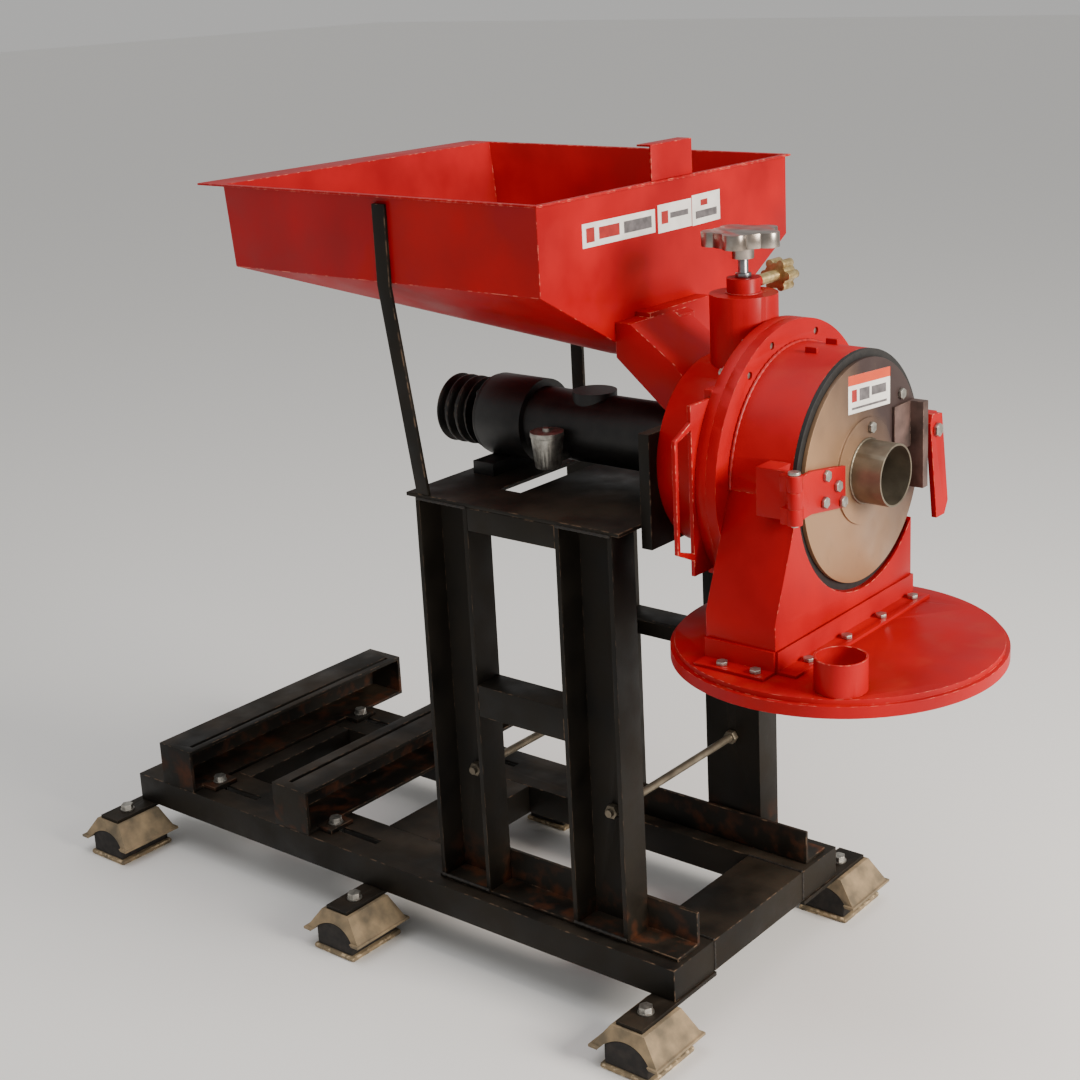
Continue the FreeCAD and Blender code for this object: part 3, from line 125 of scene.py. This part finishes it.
def finish_surface(material, surface, colour, grain_mm, detail, depth_mm, strength, roughness=None):
    """Gives the shader its colour, a fine relief and, where there is one, a roughness pattern."""
    # real relief, such as 0.2 mm turning marks, 0.5 mm sand marks and 1 mm mill scale, is too fine to
    # show at this distance, so it is drawn coarser, from 2 to 15 mm
    place = add(material, "ShaderNodeTexCoord", {})
    grain = add(material, "ShaderNodeTexNoise", {"Vector": place.outputs["Object"],
                                                 "Scale": PER_METRE / grain_mm, "Detail": detail})
    relief = add(material, "ShaderNodeBump", {"Height": grain.outputs["Fac"], "Strength": strength,
                                              "Distance": depth_mm * MM})
    links = material.node_tree.links
    links.new(colour, surface.inputs["Base Color"])
    links.new(relief.outputs[0], surface.inputs["Normal"])
    if roughness:
        links.new(roughness, surface.inputs["Roughness"])
    return material


def upward(material):
    """1 on faces that look up, where dust lies. It is the piece's own, so it stays when a joint moves."""
    place = add(material, "ShaderNodeTexCoord", {})
    parts = add(material, "ShaderNodeSeparateXYZ", {"Vector": place.outputs["Normal"]})
    return add(material, "ShaderNodeMapRange", {"Value": parts.outputs["Z"], "From Min": 0.55,
                                                "From Max": 0.95}).outputs[0]


def post_feet(material):
    """1 from just above the rails' top to a little way up the posts, fading out above."""
    place = add(material, "ShaderNodeTexCoord", {})
    parts = add(material, "ShaderNodeSeparateXYZ", {"Vector": place.outputs["Object"]})
    above = add(material, "ShaderNodeMapRange", {"Value": parts.outputs["Z"], "From Min": RUST_FOOT,
                                                 "From Max": RUST_FOOT + RUST_RISE})
    below = add(material, "ShaderNodeMapRange", {"Value": parts.outputs["Z"], "From Min": RUST_FULL,
                                                 "From Max": RUST_END, "To Min": 1.0, "To Max": 0.0})
    return add(material, "ShaderNodeMath", {0: above.outputs[0], 1: below.outputs[0]},
               operation="MULTIPLY").outputs[0]


def edge_wear_and_highlight(material, size_mm=9):
    """1 in broken runs along the eased edges: worn edges, and on the red enamel also painted edge highlight.
    """
    mark = add(material, "ShaderNodeAttribute", {}, attribute_name="edge")
    return patches(material, size_mm, 0.5, 0.62, within=mark.outputs["Fac"])


def red_enamel():
    """Enamel on sheet steel, gone dull: strong red that drifts in depth, thin dust on tops, and pale edges
    that are partly worn paint and partly painted highlight.
    """
    material, surface = new_material("red_enamel", Roughness=0.5, Specular_IOR_Level=0.18)
    colour = layered(material, "96000A", [
        (patches(material, 120, 0.35, 0.7), "B2000C"),
        (patches(material, 40, 0.5, 0.75, 0.22, within=upward(material)), "A8402C"),
        # pale edges: partly worn paint and partly a painted highlight along the eased edges
        (edge_wear_and_highlight(material), "D06A58")])
    return finish_surface(material, surface, colour, 14, 2.0, 0.25, 0.3,
                          patches(material, 60, 0.3, 0.75, 0.55, 0.36))


def black_enamel():
    """Thin enamel on rolled channel: near black, brown dust on tops, faint grime, rust at the posts' feet."""
    material, surface = new_material("black_enamel", Roughness=0.6, Specular_IOR_Level=0.22)
    colour = layered(material, "040404", [
        (patches(material, 60, 0.35, 0.7), "0A0908"),
        (patches(material, 90, 0.42, 0.75, 0.4, detail=6.0, within=upward(material)), "56483A"),
        (patches(material, 120, 0.35, 0.75, 0.4, 0.08, 6.0), "3A3124"),
        (edge_wear_and_highlight(material, 16), "5A4838"),
        (patches(material, 30, 0.5, 0.72, 0.7, detail=8.0, within=post_feet(material)), "5C2F16")])
    return finish_surface(material, surface, colour, 5, 4.0, 0.3, 0.4,
                          patches(material, 60, 0.3, 0.7, 0.75, 0.45))


def door_steel():
    """Hot rolled sheet, unpainted: violet-grey scale up and by the latch, worn to tan by the hinge."""
    material, surface = new_material("scaled_door_steel", Metallic=0.3, Roughness=0.5)
    place = add(material, "ShaderNodeTexCoord", {})
    parts = add(material, "ShaderNodeSeparateXYZ", {"Vector": place.outputs["Object"]})
    across = add(material, "ShaderNodeMath", {0: parts.outputs["Y"], 1: 1.3}, operation="MULTIPLY")
    slope = add(material, "ShaderNodeMath", {0: across.outputs[0], 1: parts.outputs["Z"]},
                operation="ADD")
    cloud = add(material, "ShaderNodeTexNoise", {"Vector": place.outputs["Object"],
                                                 "Scale": PER_METRE / 60, "Detail": 6.0})
    drift = add(material, "ShaderNodeMath", {0: cloud.outputs["Fac"], 1: 0.16, 2: slope.outputs[0]},
                operation="MULTIPLY_ADD")
    scale = add(material, "ShaderNodeMapRange", {"Value": drift.outputs[0], "From Min": 0.74,
                                                 "From Max": 0.99})
    colour = layered(material, "9A7858", [
        (scale.outputs[0], "3C2E2C"),
        (patches(material, 22, 0.6, 0.78, 0.5, detail=8.0), "77614A")])
    return finish_surface(material, surface, colour, 4, 4.0, 0.08, 0.4,
                          patches(material, 45, 0.3, 0.75, 0.55, 0.32))


def plain_finish(name, low, high, grain_mm, metallic, roughness, depth_mm=0.1, edge=None):
    """A finish in two tones, with a little relief and, where given, a paler worn edge."""
    material, surface = new_material(name, Metallic=metallic, Roughness=roughness)
    coats = [(patches(material, grain_mm, 0.35, 0.7, detail=5.0), high)]
    if edge:
        coats.append((edge_wear_and_highlight(material), edge))
    return finish_surface(material, surface, layered(material, low, coats), grain_mm / 3, 4.0,
                          depth_mm, 0.5)


# printed vinyl film: flat and clean against the enamel
LABEL_WHITE = plain_finish("label_film_white", "D9D5CF", "ECE9E4", 30, 0.0, 0.4, 0.02)
LABEL_ORANGE = plain_finish("label_film_orange", "C43C14", "D54A1C", 30, 0.0, 0.4, 0.02)
LABEL_GREY = plain_finish("label_print_grey", "4B4749", "6A6567", 12, 0.0, 0.5, 0.02)
LABEL_RED = plain_finish("label_print_red", "8E1512", "A81D18", 12, 0.0, 0.5, 0.02)
# weld metal under paint: a rougher, more broken line than the sheet beside it
WELD = plain_finish("painted_weld", "8A0205", "B00408", 6, 0.0, 0.45, 0.4)
DARK_WELD = plain_finish("black_weld", "0C0B0A", "2C241C", 6, 0.0, 0.6, 0.4)
# nodes whose finish differs from the rest of their slot; the flat bar is browned by handling
SPECIAL = {
    "door_disc": door_steel(),
    "door_latch_bar": plain_finish("dark_flat_bar", "40332F", "6A534D", 30, 0.5, 0.5, 0.1, "8C7468"),
}

FINISHES = {
    "red_paint": red_enamel(),
    "frame_paint": black_enamel(),
    # sand cast and dusty: pale tan, matt, with paler worn lips
    "foot_iron": plain_finish("dusty_cast_iron", "665B49", "A08A6A", 34, 0.0, 0.85, 0.5, "C4AE8C"),
    # moulded: soft black with a brown bloom
    "foot_rubber": plain_finish("moulded_rubber", "14110F", "2B2521", 12, 0.0, 0.8),
    # handled sheet: brown-grey with a dull sheen
    "bare_steel": plain_finish("handled_sheet_steel", "5A5246", "8C8270", 45, 0.7, 0.45),
    # plated: small bright bolt heads
    "zinc_steel": plain_finish("zinc_plate", "8D8A84", "C2BFB6", 8, 0.9, 0.38),
    # turned: clean and bright
    "machined_steel": plain_finish("turned_steel", "77767A", "A5A4A6", 20, 1.0, 0.3),
    # hardened bar: dark grey, half dull
    "hard_steel": plain_finish("hardened_bar", "3A3938", "5A5654", 15, 0.8, 0.45),
    # painted casting: black, with brown showing at the edges
    "black_iron": plain_finish("black_casting", "0A0909", "1C1917", 20, 0.0, 0.45, 0.4, "4E4238"),
    # turned brass, tarnished: pale and dull rather than yellow
    "brass": plain_finish("turned_brass", "9A8256", "CDB988", 10, 0.85, 0.42),
    # plating worn thin: warm grey with bright spots
    "chrome": plain_finish("worn_chrome", "756B62", "B0A8A0", 25, 0.95, 0.28),
    # cut sheet: flat black
    "gasket_rubber": plain_finish("sheet_rubber", "0B0A0A", "1A1716", 10, 0.0, 0.6),
}


# ------------------------------------------------------------------ dressed copies of the frame
EDGE_ANGLE = math.radians(28)
FLAT_ANGLE = math.radians(0.6)
MERGE_DISTANCE = 2e-6


def finish_mesh(mesh, name, material, body, stands_for=()):
    piece = bpy.data.objects.new(name, mesh)
    bpy.context.scene.collection.objects.link(piece)
    mesh.materials.clear()
    mesh.materials.append(material)
    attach(piece, body)
    if stands_for:
        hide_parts(*stands_for)


def dress(node, body, slot, ease):
    """A merged copy of a node whose sharp edges are eased, with the eased strips marked."""
    form = bmesh.new()
    form.from_mesh(NODES[node].data)
    bmesh.ops.remove_doubles(form, verts=form.verts, dist=MERGE_DISTANCE)
    bmesh.ops.dissolve_limit(form, angle_limit=FLAT_ANGLE, verts=form.verts, edges=form.edges)
    mark = form.loops.layers.float.new("edge")
    sharp = [e for e in form.edges if e.is_manifold and e.calc_face_angle(0) > EDGE_ANGLE]
    made = bmesh.ops.bevel(form, geom=sharp, offset=ease * MM, segments=2, profile=0.5,
                           affect="EDGES", clamp_overlap=True, material=-1)
    for face in made["faces"]:
        for loop in face.loops:
            loop[mark] = 1.0
    mesh = bpy.data.meshes.new(node + "_dressed")
    for face in form.faces:
        face.smooth = True
    form.to_mesh(mesh)
    form.free()
    mesh.set_sharp_from_angle(angle=EDGE_ANGLE)
    finish_mesh(mesh, node + "_dressed", SPECIAL.get(node, FINISHES[slot]), body, (node,))


# how far edges are eased, in mm: rolled, folded, cast and moulded edges, and SMALL_EASE for the rest
EASES = {"frame_paint": 1.2, "red_paint": 0.8, "foot_iron": 3.0, "foot_rubber": 2.0, "black_iron": 1.5}
SMALL_EASE = 0.4
slot_of = {part["node"]: part["material_slot"] for part in frame["record"]["subparts"]}
for body, members in frame["record"]["behaviour"]["bodies"].items():
    for node in members:
        dress(node, body, slot_of[node], EASES.get(slot_of[node], SMALL_EASE))


# ------------------------------------------------------------------ labels, welds and small parts
# thickness of a label's film and of the print on it, in mm
FILM, PRINT = 0.3, 0.1


def mm(*values):
    return Vector(values) * MM


def finish_form(form, name, material, body):
    bmesh.ops.recalc_face_normals(form, faces=form.faces)
    mesh = bpy.data.meshes.new(name)
    for face in form.faces:
        face.smooth = False
    form.to_mesh(mesh)
    form.free()
    finish_mesh(mesh, name, material, body)


def film(name, corners, thickness, material, body):
    """A thin film with four corners that stands off along the corners' right-hand normal."""
    form = bmesh.new()
    face = form.faces.new([form.verts.new(mm(*corner)) for corner in corners])
    face.normal_update()
    lift = face.normal * thickness * MM
    made = bmesh.ops.extrude_face_region(form, geom=[face])
    raised = [part for part in made["geom"] if isinstance(part, bmesh.types.BMVert)]
    bmesh.ops.translate(form, verts=raised, vec=lift)
    finish_form(form, name, material, body)


def on_panel(corners, left, right, low, high):
    """Corners of a rectangle inside a panel, in shares of its width and height."""
    a, b, c, d = (Vector(corner) for corner in corners)
    return [tuple(a.lerp(b, across).lerp(d.lerp(c, across), up))
            for across, up in ((left, low), (right, low), (right, high), (left, high))]


def label(name, x, y0, y1, z_low, z_high, tilt, marks, body, head=None):
    """A label on a face that looks along X: white film, plain printed blocks and, if given, a head."""
    panel = [(x, y0, z_low), (x, y1, z_low + tilt), (x, y1, z_high + tilt), (x, y0, z_high)]
    film(name, panel, FILM, LABEL_WHITE, body)
    raised = [(x + FILM, y, z) for _, y, z in panel]
    if head:
        film(name + "_head", on_panel(raised, 0.0, 1.0, head, 1.0), PRINT, LABEL_ORANGE, body)
    for index, (left, right, low, high, ink) in enumerate(marks):
        film("%s_mark_%d" % (name, index), on_panel(raised, left, right, low, high), PRINT,
             LABEL_RED if ink == "red" else LABEL_GREY, body)


def weld_bead(name, points, radius, material, body, seed):
    """A run of weld: a lumpy round bead along a line."""
    run = bpy.data.curves.new(name, "CURVE")
    run.dimensions = "3D"
    run.bevel_depth = radius * MM
    run.bevel_resolution = 2
    run.use_fill_caps = True
    length = sum((Vector(b) - Vector(a)).length for a, b in zip(points, points[1:]))
    steps = max(2, int(length / (radius * 1.5)))
    spline = run.splines.new("POLY")
    spline.points.add(steps - 1)
    for index in range(steps):
        share = index / (steps - 1) * (len(points) - 1)
        low_index = min(int(share), len(points) - 2)
        spot = Vector(points[low_index]).lerp(Vector(points[low_index + 1]), share - low_index)
        spline.points[index].co = (*(spot * MM), 1)
        spline.points[index].radius = 1.0 + 0.22 * math.sin(seed + index * 2.3)
    holder = bpy.data.objects.new(name, run)
    bpy.context.scene.collection.objects.link(holder)
    bpy.context.view_layer.update()
    mesh = bpy.data.meshes.new_from_object(holder.evaluated_get(bpy.context.evaluated_depsgraph_get()))
    bpy.data.objects.remove(holder)
    for polygon in mesh.polygons:
        polygon.use_smooth = True
    mesh.name = name
    finish_mesh(mesh, name, material, body)


# the shaft's axis and the plan position of the tower, in mm
AXIS_Y, AXIS_Z = -33.0, 826.3
TOWER_X, TOWER_COLLAR_RADIUS, TOWER_COLLAR_LEVEL = 403.5, 23.5, 1050.5
ARC_STEPS = 48


def arc(x, radius, start, end):
    """Points round the shaft's axis, at a station along it."""
    turns = [math.radians(start + (end - start) * index / ARC_STEPS) for index in range(ARC_STEPS + 1)]
    return [(x, AXIS_Y + radius * math.cos(turn), AXIS_Z + radius * math.sin(turn)) for turn in turns]


def tower_ring():
    """Points round the tower's collar."""
    turns = [math.radians(angle) for angle in range(0, 361, 15)]
    return [(TOWER_X + TOWER_COLLAR_RADIUS * math.cos(turn), AXIS_Y + TOWER_COLLAR_RADIUS * math.sin(turn),
             TOWER_COLLAR_LEVEL) for turn in turns]


# the boss ring stands 3 mm off the door, and the rim's lip 6 mm off the hopper's wall
door_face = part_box("door_disc")[1].x / MM - 3.0
label("door_label", door_face, -74, 35, 911, 962, -8,
      [(0.08, 0.2, 0.3, 0.62, "red"), (0.26, 0.5, 0.3, 0.62, "grey"), (0.55, 0.9, 0.36, 0.6, "grey"),
       (0.08, 0.92, 0.1, 0.16, "grey")], "door", head=0.74)
hopper_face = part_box("hopper_bin")[1].x / MM - 6.0
for name, y0, y1, z_low, z_high, tilt, marks in (
        ("name", -162, 3, 1117, 1150, -1,
         [(0.05, 0.16, 0.2, 0.8, "red"), (0.22, 0.5, 0.25, 0.75, "red"), (0.56, 0.95, 0.25, 0.75, "grey")]),
        ("middle", 10, 92, 1113, 1153, 0,
         [(0.1, 0.3, 0.3, 0.75, "red"), (0.36, 0.9, 0.45, 0.65, "grey")]),
        ("end", 94, 165, 1112, 1156, 1,
         [(0.3, 0.55, 0.6, 0.8, "red"), (0.12, 0.88, 0.2, 0.45, "grey")])):
    label("hopper_label_" + name, hopper_face, y0, y1, z_low, z_high, tilt, marks, "mill")

# round the drum's rear edge, 1 mm outside its skin, round the tower's collar, and round the inlet pipe
drum_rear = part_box("discharge_chute")[0].x / MM
weld_bead("drum_flange_weld", arc(drum_rear + 2, 163, 0, 180), 2.6, WELD, "mill", 3)
weld_bead("tower_collar_weld", tower_ring(), 1.6, WELD, "mill", 5)
weld_bead("pipe_weld", arc(593.5, 43.2, 0, 360), 1.8, FINISHES["bare_steel"], "door", 7)

# beads at the foot and the head of each post's outer face; the posts are 100 mm wide
POST_STARTS = (-46.5, 216.0)
BEAD_INSET, POST_WIDTH = 2, 100
for side, outer in (("near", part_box("posts_near")[0].y / MM), ("far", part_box("posts_far")[1].y / MM)):
    for index, start in enumerate(POST_STARTS):
        low_x, high_x = start + BEAD_INSET, start + POST_WIDTH - BEAD_INSET
        for place, level, radius, seed in (("foot", 132, 2.6, index), ("head", 743, 2.2, index + 4)):
            weld_bead("post_%s_weld_%s_%d" % (place, side, index),
                      [(low_x, outer, level), (high_x, outer, level)], radius, DARK_WELD, "mill",
                      seed)

# two small lugs on the drum's crown
LUG_X, LUG_SIZE = 528, (18, 5, 9)
for name, y, z in (("near", -62, 988.5), ("far", -10, 990)):
    lug = bmesh.new()
    bmesh.ops.create_cube(lug, size=1.0)
    bmesh.ops.scale(lug, vec=mm(*LUG_SIZE), verts=lug.verts)
    bmesh.ops.translate(lug, vec=mm(LUG_X, y, z), verts=lug.verts)
    bmesh.ops.bevel(lug, geom=lug.edges[:], offset=1.2 * MM, segments=2, affect="EDGES", profile=0.5,
                    material=-1)
    finish_form(lug, "drum_lug_" + name, FINISHES["red_paint"], "mill")
# a seam along the drum's near side
weld_bead("drum_seam", [(486, -195.2, 822), (575, -195.2, 822)], 1.3, WELD, "mill", 2)

# beads on the cross channel at the door end, on its top and on its face
base_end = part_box("base_rails")[1].x / MM
for index, y in enumerate((AXIS_Y - 120, AXIS_Y + 120)):
    weld_bead("cross_end_weld_%d" % index, [(base_end - 99, y, 125), (base_end - 1, y, 125)], 2.2,
              DARK_WELD, "mill", index)
    weld_bead("cross_face_weld_%d" % index, [(base_end, y, 78), (base_end, y, 124)], 1.8,
              DARK_WELD, "mill", index + 2)


# ------------------------------------------------------------------ floor and light
def area_light(name, place, target, size, power, tint):
    data = bpy.data.lights.new(name, "AREA")
    data.size = size
    data.energy = power
    data.color = tint
    lamp = bpy.data.objects.new(name, data)
    lamp.location = place
    lamp.rotation_euler = (Vector(target) - Vector(place)).to_track_quat("-Z", "Y").to_euler()
    bpy.context.scene.collection.objects.link(lamp)


floor_form = bmesh.new()
bmesh.ops.create_grid(floor_form, x_segments=1, y_segments=1, size=30)
floor_mesh = bpy.data.meshes.new("studio_floor")
floor_form.to_mesh(floor_mesh)
floor_form.free()
floor = bpy.data.objects.new("studio_floor", floor_mesh)
bpy.context.scene.collection.objects.link(floor)
floor_mesh.materials.append(new_material("pale_floor", Base_Color=linear("F4F3F1"), Roughness=0.9)[0])

world = bpy.data.worlds.new("studio")
bpy.context.scene.world = world
world.use_nodes = True
world.node_tree.nodes["Background"].inputs["Color"].default_value = (1.0, 0.99, 0.97, 1.0)
world.node_tree.nodes["Background"].inputs["Strength"].default_value = 0.5
area_light("door_side_light", (3.6, 0.2, 1.9), (0.1, 0, 0.6), 1.3, 205, (1.0, 0.93, 0.84))
area_light("top_light", (0.2, -0.6, 4.0), (0, 0, 0.5), 3.0, 60, (1.0, 1.0, 1.0))
